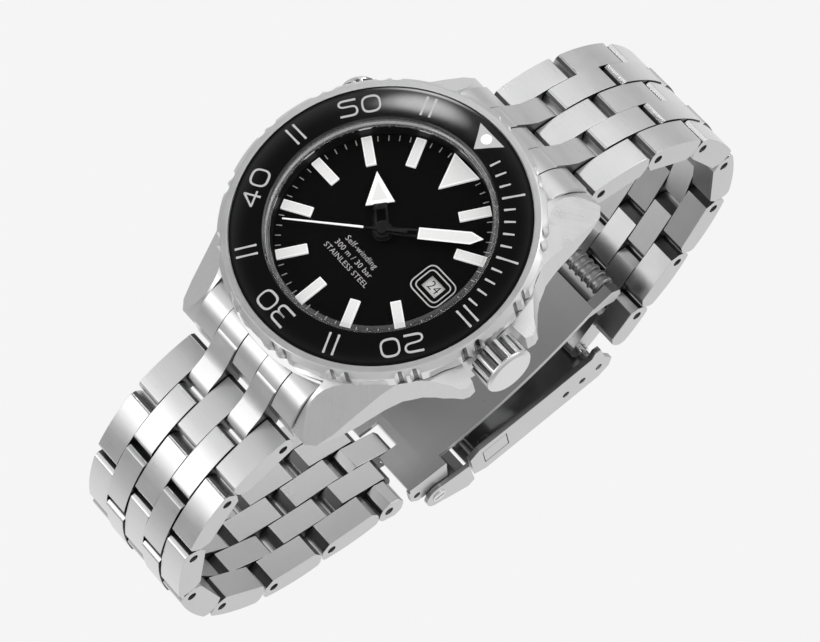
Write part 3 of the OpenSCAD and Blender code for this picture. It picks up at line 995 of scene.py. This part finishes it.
@dataclass
class Bezel:
    """The turning bezel, its black insert and the filled markings."""

    inner_r: float = 14.9
    outer_r: float = 19.3
    rim_r: float = 20.4
    low: float = 11.35
    top: float = 11.9
    crown: float = 0.04
    slope: float = 0.06
    fill_top: float = 11.915
    stroke_w: float = 0.36
    digit_w: float = 2.25
    digit_h: float = 2.25
    digit_gap: float = 0.75
    numeral_r: float = 17.0
    short_tick: tuple[float, float] = (1.55, 0.36)
    short_r: float = 16.3
    long_tick: tuple[float, float] = (3.0, 0.38)
    long_r: float = 16.97
    pair_tick: tuple[float, float] = (2.9, 0.38)
    pair_r: float = 17.15
    pair_half: float = 0.58
    pip_r: float = 17.3

    def build(self) -> None:
        """Make the ring, the insert and the markings."""
        ring = refined("bezel", "bezel_ring", 0.14, 2)

        def face(normal: Vector, centre: Vector) -> int:
            """Painted shade on the walls of the grip notches and inside the ring."""
            return 1 if centre.to_2d().length < self.rim_r and abs(normal.z) < 0.4 else 0

        dress(ring, "bezel", "bezel_steel", [RING_STEEL, RECESS_SHADE], face, ["bezel"])
        self.insert()
        self.markings()

    def insert(self) -> None:
        """The insert, a little convex from its inner to its outer edge."""
        a, b = self.inner_r, self.outer_r
        arc = []
        for i in range(13):
            t = i / 12
            rise = self.crown * (1 - (2 * t - 1) ** 2)
            radius = b - 0.12 - t * (b - a - 0.24)
            arc.append((radius, self.top - self.crown + rise - self.slope * (radius - a)))
        profile = [
            (a, self.low),
            (b, self.low),
            (b, self.top - 0.3),
            *arc,
            (a, self.top - self.crown - 0.1),
        ]
        piece = turned("bezel_insert_ring", profile, 180)
        only(piece)
        bpy.ops.object.shade_smooth_by_angle(angle=math.radians(35))
        dress(piece, "bezel", "insert_black", [ENAMEL], None, ["bezel_insert"])

    def digit(self, figure: str) -> list[bpy.types.Object]:
        """One wide rounded numeral, centred on the axis.

        Args:
            figure: the numeral, one of 0 2 3 4 5.

        Returns:
            Its strokes.
        """
        w, h = self.digit_w / 2, self.digit_h / 2
        soft = 0.72
        lines = {
            "0": [(rounded([(w, h), (-w, h), (-w, -h), (w, -h)], 0.95, True), True)],
            "2": [
                (
                    rounded([(-w, h), (w, h), (w, 0.05), (-w, -0.15), (-w, -h), (w, -h)], soft),
                    False,
                ),
            ],
            "3": [
                (rounded([(-w, h), (w, h), (w, 0.0), (-0.35, 0.0)], soft), False),
                (rounded([(-0.35, 0.0), (w, 0.0), (w, -h), (-w, -h)], soft), False),
            ],
            "4": [
                (rounded([(0.45, -h), (0.45, h), (-w, -0.4), (w, -0.4)], 0.12), False),
            ],
            "5": [
                (rounded([(w, h), (-w, h), (-w, 0.2), (w, 0.2), (w, -h), (-w, -h)], soft), False),
            ],
        }
        return [stroke(points, self.stroke_w, closed) for points, closed in lines[figure]]

    def numeral(self, minute: int) -> list[bpy.types.Object]:
        """The two figures of a minute, with their tops outward.

        Args:
            minute: a number of two figures.

        Returns:
            The strokes of both figures.
        """
        made = []
        step = (self.digit_w + self.digit_gap) / 2
        for figure, x in zip(str(minute), (-step, step)):
            for line in self.digit(figure):
                shift(line, moved(x, self.numeral_r, self.fill_top - 0.03))
                made.append(shift(line, clock(6 * minute)))
        return made

    def tilt(self, piece: bpy.types.Object) -> None:
        """Let a piece follow the insert's slope."""
        for corner in piece.data.vertices:
            corner.co.z -= self.slope * (corner.co.to_2d().length - self.inner_r * MM)

    def markings(self) -> None:
        """Ticks, pairs, numerals, the zero triangle and its pip."""
        low, top = self.low + 0.3, self.fill_top
        short = bar(*self.short_tick, low, top, 0.1)
        long = bar(*self.long_tick, low, top, 0.1)
        pair = bar(*self.pair_tick, low, top, 0.1)
        made = []
        for minute in (2, 3, 4, 6, 7, 8, 9, 11, 12, 13, 14):
            made.append(copied(short, "tick", clock(6 * minute) @ moved(0, self.short_r)))
        for minute in (5, 10):
            made.append(copied(long, "tick", clock(6 * minute) @ moved(0, self.long_r)))
        for minute in (15, 25, 35, 45, 55):
            for side in (-self.pair_half, self.pair_half):
                made.append(copied(pair, "tick", clock(6 * minute) @ moved(side, self.pair_r)))
        for minute in (20, 30, 40, 50):
            made.extend(self.numeral(minute))
        triangle = plate("tick", [(0, 15.2), (2.4, 18.3), (-2.4, 18.3)], low, top)
        ease_edges(triangle, 0.08)
        made.append(triangle)
        for used in (short, long, pair):
            bpy.data.objects.remove(used)
        marks = joined("bezel_marks", made)
        self.tilt(marks)
        dress(marks, "bezel", "lume", [MARK_FILL])
        dome = [(0.72, top), (0.55, top + 0.05), (0.3, top + 0.08), (0.005, top + 0.09)]
        pip = turned("bezel_pip", [(0.005, low), (0.72, low), *dome], 40)
        self.tilt(shift(pip, moved(0, self.pip_r)))
        only(pip)
        bpy.ops.object.shade_smooth_by_angle(angle=math.radians(60))
        dress(pip, "bezel", "lume", [WHITE_FRAME])


@dataclass
class Dial:
    """Dial, applied markers, print, date window and the reflecting ring round it."""

    face_z: float = 8.9
    marker_top: float = 9.3
    print_top: float = 8.912
    date_x: float = 9.9
    track_r: float = 13.45
    marker_r: float = 11.75
    inlay: tuple[float, float] = (3.84, 1.09)
    word_x: float = 0.08
    word_drop: float = 0.13
    frames: tuple[tuple[float, float, float], ...] = ((5.0, 4.2, 1.1), (3.9, 3.1, 0.75))
    figures_z: float = 8.428
    words: tuple[tuple[str, float, float], ...] = (
        ("Self-winding", -3.55, 1.15),
        ("300 m / 30 bar", -4.85, 1.1),
        ("STAINLESS STEEL", -6.1, 1.05),
    )

    def build(self) -> None:
        """Make every piece that belongs to the dial."""
        disc = refined("dial", "dial_disc", 0.03)
        dress(disc, "head", "dial_black", [DIAL_PAINT], None, ["dial"])
        self.markers()
        self.ring()
        self.print()
        self.date()

    def markers(self) -> None:
        """White applied markers with a recessed luminous filling."""
        frames = refined("hour_markers", "marker_frames", 0.05)
        dress(frames, "head", "lume", [WHITE_FRAME], None, ["hour_markers"])
        low, top = self.marker_top - 0.2, self.marker_top + 0.02
        inlay = bar(*self.inlay, low, top, 0.03)
        made = []
        for hour in (1, 2, 4, 5, 6, 7, 8, 9, 10, 11):
            made.append(copied(inlay, "inlay", clock(30 * hour) @ moved(0, self.marker_r)))
        bpy.data.objects.remove(inlay)
        triangle = plate("inlay", [(0, 9.4), (2.12, 13.58), (-2.12, 13.58)], low, top)
        ease_edges(triangle, 0.03)
        made.append(triangle)
        dress(joined("marker_inlays", made), "head", "lume", [LUME])

    def ring(self) -> None:
        """The polished black ring between dial and crystal."""
        low = [(14.07, 8.91), (14.58, 8.91)]
        high = [(14.58, 10.36), (14.34, 10.36), (14.28, 10.2), (14.08, 9.3)]
        piece = turned("chapter_ring_polished", low + high, 180)
        only(piece)
        bpy.ops.object.shade_smooth_by_angle(angle=math.radians(30))
        dress(piece, "head", "ring_black", [BLACK_METAL], None, ["chapter_ring"])

    def print(self) -> None:
        """The minute track, the words and the frames of the date window."""
        tick = bar(0.75, 0.13, self.face_z - 0.01, self.print_top, 0.003)
        made = []
        for minute in range(60):
            if minute % 5 and minute not in (59, 1):
                made.append(copied(tick, "tick", clock(6 * minute) @ moved(0, self.track_r)))
        bpy.data.objects.remove(tick)
        dress(joined("minute_track", made), "head", "lume", [FAINT_INK])
        lines = []
        for words, y, size in self.words:
            line = lettering(words, size)
            lines.append(shift(line, moved(self.word_x, y - self.word_drop, self.face_z + 0.006)))
        dress(joined("dial_words", lines), "head", "lume", [INK])
        frames = []
        for w, h, soft in self.frames:
            corners = [(w / 2, h / 2), (-w / 2, h / 2), (-w / 2, -h / 2), (w / 2, -h / 2)]
            line = stroke(rounded(corners, soft, True), 0.2, True)
            frames.append(shift(line, moved(self.date_x, 0, self.face_z)))
        dress(joined("date_frames", frames), "head", "lume", [INK])

    def date(self) -> None:
        """The date disc and the day's figures seen in the window."""
        disc = refined("date_disc", "date_ring", 0.03)
        dress(disc, "date_disc", "date_white", [DATE_WHITE], None, ["date_disc"])
        figures = lettering("24", 1.75)
        shift(figures, moved(self.date_x, 0, self.figures_z))
        dress(figures, "date_disc", "date_white", [BLACK_METAL])
        figures.name = "date_figures"


@dataclass
class Hands:
    """Hour, minute and seconds hands."""

    hour_deg: float = 304.1
    minute_deg: float = 48.7
    second_deg: float = 229.4

    def build(self) -> None:
        """Make the three hands."""
        self.hour()
        self.minute()
        self.seconds()

    def hour(self) -> None:
        """An arrow with a luminous filling on a black open stem."""
        turn = clock(self.hour_deg)
        base = refined("hour_hand", "hour_hand_body", 0.03)
        back = turn.inverted()

        def face(normal: Vector, centre: Vector) -> int:
            """White on top of the arrow, black everywhere else."""
            along = (back @ centre.to_3d()).y
            return 0 if along > 3.9 and centre.z > 9.4 else 1

        dress(base, "hour_hand", "hands", [WHITE_FRAME, BLACK_METAL], face, ["hour_hand"])
        arrow = plate("hour_hand_arrow", [(0, 8.5), (-1.87, 3.95), (1.87, 3.95)], 9.55, 9.67)
        ease_edges(arrow, 0.03)
        dress(shift(arrow, turn), "hour_hand", "hands", [WHITE_FRAME])
        inlay = plate("hour_hand_filling", [(0, 7.15), (-1.1, 4.4), (1.1, 4.4)], 9.6, 9.69)
        ease_edges(inlay, 0.02)
        dress(shift(inlay, turn), "hour_hand", "lume", [LUME])

    def minute(self) -> None:
        """A white sword on a thin black open stem."""
        turn = clock(self.minute_deg)
        base = refined("minute_hand", "minute_hand_body", 0.03)
        dress(base, "minute_hand", "hands", [BLACK_METAL], None, ["minute_hand"])
        outline = [(0, 12.95), (-0.86, 11.3), (-0.8, 4.6), (0.8, 4.6), (0.86, 11.3)]
        sword = plate("minute_hand_blade", outline, 10.0, 10.09)
        ease_edges(sword, 0.03)
        dress(shift(sword, turn), "minute_hand", "hands", [WHITE_FRAME])
        outline = [(0, 12.5), (-0.66, 11.2), (-0.6, 4.8), (0.6, 4.8), (0.66, 11.2)]
        inlay = plate("minute_hand_filling", outline, 10.05, 10.11)
        ease_edges(inlay, 0.02)
        dress(shift(inlay, turn), "minute_hand", "lume", [LUME])

    def seconds(self) -> None:
        """A needle, white outside and black near its hub."""
        base = refined("seconds_hand", "seconds_hand_body", 0.02)
        dress(base, "seconds_hand", "hands", [BLACK_METAL], None, ["seconds_hand"])
        outline = [(0.135, 2.4), (0.08, 12.87), (-0.08, 12.87), (-0.135, 2.4)]
        needle = plate("seconds_needle", outline, 10.24, 10.39)
        dress(shift(needle, clock(self.second_deg)), "seconds_hand", "hands", [WHITE_FRAME])


@dataclass
class Works:
    """The winding movement behind the dial, and the parts that turn in it."""

    def build(self) -> None:
        """Finish the parts inside the case."""
        for node, name, body, slot, finish in (
            ("movement", "movement_plates", "head", "movement_steel", RING_STEEL),
            ("rotor", "rotor_weight", "rotor", "rotor_steel", RING_STEEL),
            ("balance_wheel", "balance_rim", "balance_wheel", "balance_brass", BRASS),
            ("crown_gasket", "crown_seal_ring", "crown_seal", "gasket_rubber", RUBBER),
        ):
            dress(refined(node, name, 0.05), body, slot, [finish], None, [node])


@dataclass
class Winders:
    """The fluted crown and the fluted valve."""

    edge: float = 0.1
    flute_depth: float = 0.2

    def build(self) -> None:
        """Finish both."""
        for node, name in (("crown", "crown_fluted"), ("helium_valve", "valve_fluted")):
            low, high = (Vector(corner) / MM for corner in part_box(node))
            middle, radius = (low + high) / 2, (high.z - low.z) / 2

            def face(normal: Vector, centre: Vector) -> int:
                """Painted shade at the bottom of the flutes.

                Args:
                    normal: which way the face looks.
                    centre: its middle in millimetres.

                Returns:
                    Which finish the face gets.
                """
                out = centre - middle
                along = Vector((middle.x, middle.y, 0)).normalized()
                out -= along * out.dot(along)
                deep = out.length < radius - self.flute_depth
                return 1 if deep and abs(normal.dot(along)) < 0.5 else 0

            piece = refined(node, name, self.edge, 2)
            dress(piece, node, "case_steel", [SATIN, RECESS_SHADE], face, [node])


@dataclass
class Bracelet:
    """End links and the rows of both halves."""

    edge: float = 0.17
    pin_r: float = 0.7
    pin_sunk: float = 0.05
    seam_half: float = 0.09
    wrist_z: float = -24.0
    end_half: float = 10.0
    end_seams: tuple[float, float] = (2.0, 6.0)
    bright_wall: float = 8.0
    last_wall: float = 4.0
    rows: dict[str, tuple[str, ...]] = field(
        default_factory=lambda: {
            side: tuple(
                f"row{side}_{kind}{i}"
                for i in range(1, 9)
                for kind in "ab"
                if f"row{side}_{kind}{i}" in frame["nodes"]
            )
            for side in ("12", "6")
        }
    )

    def rule(
        self, pin: Vector | None, outer: float, wall: float, seams: Sequence[float] = ()
    ) -> Rule:
        """Brushed outside, satin and painted darker at the sides, plainer and painted darker inside
        the loop, with painted shade in the seams, the gaps between links and the pin holes.

        Args:
            pin: place of the row's first pin in millimetres.
            outer: half of the row's width; the pin's ends lie a little deeper.
            wall: how far out the side walls that stay bright are; walls further in get painted
                shade.
            seams: distances from the middle at which two columns meet; painted shade runs along
                them.

        Returns:
            A rule for dress.
        """

        def face(normal: Vector, centre: Vector) -> int:
            """Pick the finish by where the face is and where it looks.

            Args:
                normal: which way the face looks.
                centre: its middle in millimetres.

            Returns:
                Which finish the face gets.
            """
            # Painted shade in the sunk pin holes.
            if pin is not None and (centre.yz - pin.yz).length < self.pin_r:
                return 3 if wall < abs(centre.x) < outer - self.pin_sunk else 1
            # Painted shade along the seams between columns.
            if any(abs(abs(centre.x) - seam) < self.seam_half for seam in seams):
                return 3
            # Inner side walls, between links, get painted shade.
            if abs(normal.x) > 0.8:
                return 1 if abs(centre.x) > wall else 3
            lean = normal.dot(Vector((0, centre.y, centre.z - self.wrist_z)).normalized())
            # Faces that look along the bracelet, into the gaps between links, get painted shade;
            # faces inside the loop get the darker underside steel.
            if abs(lean) < 0.3:
                return 3
            return 0 if lean > 0 else 2

        return face

    def build(self) -> None:
        """Make the end links and all rows."""
        for side in ("12", "6"):
            piece = refined(f"end_link_{side}", f"end_piece_{side}", 0.12)
            finishes = [LINK_TOP, LINK_SIDE, LINK_UNDER, DEEP_SHADE]
            rule = self.rule(None, self.end_half, self.bright_wall, self.end_seams)
            dress(piece, "head", "link_steel", finishes, rule, [f"end_link_{side}"])
            for node in self.rows[side]:
                piece = refined(node, f"{node}_links", self.edge)
                pin = Vector(joint_place(f"{node}_pin")) if "_a" in node else None
                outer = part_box(node)[1].x / MM
                wall = self.last_wall if node == "row12_b7" else self.bright_wall
                dress(piece, node, "link_steel", finishes, self.rule(pin, outer, wall), [node])


@dataclass
class Clasp:
    """Folding clasp: cover, two blades, bars, push buttons and the safety flap."""

    edge: float = 0.1
    ear_x: float = 9.66

    def build(self) -> None:
        """Finish every part of the clasp."""

        def cover(normal: Vector, centre: Vector) -> int:
            """Satin and painted darker at the sides, painted shade where it looks to the wrist
            inside the loop.

            Args:
                normal: which way the face looks.
                centre: its middle in millimetres.

            Returns:
                Which finish the face gets.
            """
            if abs(normal.x) > 0.7:
                return 1
            return 2 if normal.z > 0.2 else 0

        # Painted shade on the blades and on the faces of cover, flap and buttons that look up
        # inside the loop.
        shell, blade = [LINK_TOP, LINK_SIDE, INNER_SHADE], [INNER_SHADE, LINK_SIDE, INNER_SHADE]
        bars = [POLISHED, POLISHED, POLISHED]
        for node, name, body, slot, finishes in (
            ("clasp_cover", "clasp_cover_shell", "clasp_cover", "clasp_steel", shell),
            ("clasp_middle_blade", "clasp_blade_middle", "clasp_middle", "blade_steel", blade),
            ("clasp_end_blade", "clasp_blade_end", "clasp_end", "blade_steel", blade),
            ("safety_flap", "safety_flap_plate", "safety_flap", "clasp_steel", shell),
            ("button_right", "push_button_right", "button_right", "clasp_steel", shell),
            ("button_left", "push_button_left", "button_left", "clasp_steel", shell),
            ("adjust_bar", "adjusting_bar", "row12_b7", "bar_steel", bars),
            ("end_bar", "closing_bar", "row6_a8", "bar_steel", bars),
        ):
            piece = refined(node, name, self.edge)
            dress(piece, body, slot, finishes, cover, [node])
        self.screws()

    def screws(self) -> None:
        """The two slotted screw heads on which the safety flap turns."""
        _, y, z = joint_place("flap_open")
        profile = [(0.01, 0), (1.05, 0), (1.05, 0.1), (0.9, 0.2), (0.01, 0.2)]
        head = turned("head", profile, 32)
        slot = bar(1.6, 0.26, 0.1, 0.21, 0.02)
        for side, name in ((1, "right"), (-1, "left")):
            place = Matrix.Translation(Vector((side * self.ear_x, y, z)) * MM)
            place = place @ Matrix.Rotation(side * math.pi / 2, 4, "Y")
            # The slots are near-black steel: painted shade.
            for piece, part, finish in ((head, "screw", SATIN), (slot, "slot", DEEP_SHADE)):
                made = copied(piece, f"flap_{part}_{name}", place)
                dress(made, "safety_flap", "clasp_steel", [finish])
        for used in (head, slot):
            bpy.data.objects.remove(used)


@dataclass
class Studio:
    """Floor, light and camera."""

    floor_z: float = -0.0560
    floor_size: float = 8.0
    paper: float = 0.913
    near: float = 0.9
    far: float = 0.5
    lens: float = 175.6
    place: tuple[float, float, float] = (0.2086, -0.0900, 0.4565)
    right: tuple[float, float, float] = (0.627, 0.768, -0.130)
    back: tuple[float, float, float] = (0.397, -0.171, 0.902)
    shade: tuple[float, float, float] = (-0.397, 0.171, 0.902)
    shade_ease: tuple[float, float] = (0.965, 0.99)
    glint: tuple[float, float, float] = (-0.487, 0.3, 0.820)
    glint_ease: tuple[float, float] = (0.998, 0.9998)

    def build(self) -> None:
        """Set the stage."""
        self.floor()
        self.world()
        self.lamp("back_softbox", (0.15, 0.75, 0.40), (0.7, 0.5), 2.2)
        self.lamp("front_softbox", (-0.30, -0.70, 0.48), (0.8, 0.4), 1.35)
        self.camera()

    def floor(self) -> None:
        """A plain pale floor, even to the camera and dimmer further out as a source of light."""
        clear()
        bpy.ops.mesh.primitive_plane_add(size=self.floor_size, location=(0, 0, self.floor_z))
        piece = settle(bpy.context.object, "studio_floor")
        graph = Graph("studio_paper")
        x, y, _ = graph.point("Object")
        away = graph.ease(graph.math("SQRT", x * x + y * y), 0.05, 0.3)
        path = graph.node("ShaderNodeLightPath")
        paper = graph.node("ShaderNodeEmission", inputs={"Color": (*(self.paper,) * 3, 1)})
        shade = graph.blend(away, (self.near,) * 3, (self.far,) * 3)
        lit = graph.node("ShaderNodeEmission", inputs={"Color": shade})
        mix = graph.node(
            "ShaderNodeMixShader",
            inputs={0: path.outputs["Is Camera Ray"], 1: lit.outputs[0], 2: paper.outputs[0]},
        )
        graph.plug(graph.surface, mix.outputs[0])
        piece.data.materials.append(graph.material)

    def world(self) -> None:
        """Light from a pale room, brightest overhead, with a dark screen and a small lamp in it."""
        graph = Graph("studio", world=True)
        x, y, z = graph.point("Generated")
        a, b, c = self.shade
        shade = graph.ease(x * a + y * b + z * c, *self.shade_ease)
        a, b, c = self.glint
        glint = graph.ease(x * a + y * b + z * c, *self.glint_ease)
        sides = graph.ease(y, 0.1, 0.8) * 0.42 + graph.ease(y * -1.0, 0.1, 0.8) * 0.12
        tone = graph.ease(z, 0.15, 0.85) * 0.7 + sides + graph.ease(x, 0.15, 0.7) * 0.25 + 0.26
        tone = tone * (1.0 - shade * 0.95) + glint * 16.0
        light = graph.node("ShaderNodeBackground", inputs={"Strength": tone})
        graph.plug(graph.surface, light.outputs[0])
        bpy.context.scene.world = graph.material

    def lamp(self, name: str, place: tuple[float, float, float], size: Point, power: float) -> None:
        """One softbox that points at the watch.

        Args:
            name: its name.
            place: where it stands, in metres.
            size: width and height in metres.
            power: in watts.
        """
        light = bpy.data.lights.new(name, "AREA")
        light.shape = "RECTANGLE"
        light.size, light.size_y = size
        light.energy = power
        lamp = bpy.data.objects.new(name, light)
        lamp.location = place
        lamp.rotation_euler = (-Vector(place)).to_track_quat("-Z", "Y").to_euler()
        bpy.context.scene.collection.objects.link(lamp)

    def camera(self) -> None:
        """A long lens that looks down on the dial from beyond the crown side."""
        data = bpy.data.cameras.new("camera")
        data.lens = self.lens
        data.sensor_width = 36.0
        data.clip_start, data.clip_end = 0.01, 50.0
        camera = bpy.data.objects.new("camera", data)
        back = Vector(self.back).normalized()
        right = Vector(self.right)
        right = (right - back * right.dot(back)).normalized()
        up = back.cross(right)
        turn = Matrix((right, up, back)).transposed().to_4x4()
        camera.matrix_world = Matrix.Translation(self.place) @ turn
        bpy.context.scene.collection.objects.link(camera)
        bpy.context.scene.camera = camera
        view = bpy.context.scene.view_settings
        view.view_transform = "Standard"
        view.look = "None"
        view.exposure = 0.0


def main() -> None:
    """Build the watch, then its studio, and log the face count of each piece of the watch."""
    logging.basicConfig(level=logging.INFO, format="%(message)s")
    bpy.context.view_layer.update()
    clear()
    for part in (Case(), Bezel(), Dial(), Hands(), Works(), Winders(), Bracelet(), Clasp()):
        part.build()
        log.info("%s done", type(part).__name__)
    Studio().build()


if __name__ == "__main__":
    main()
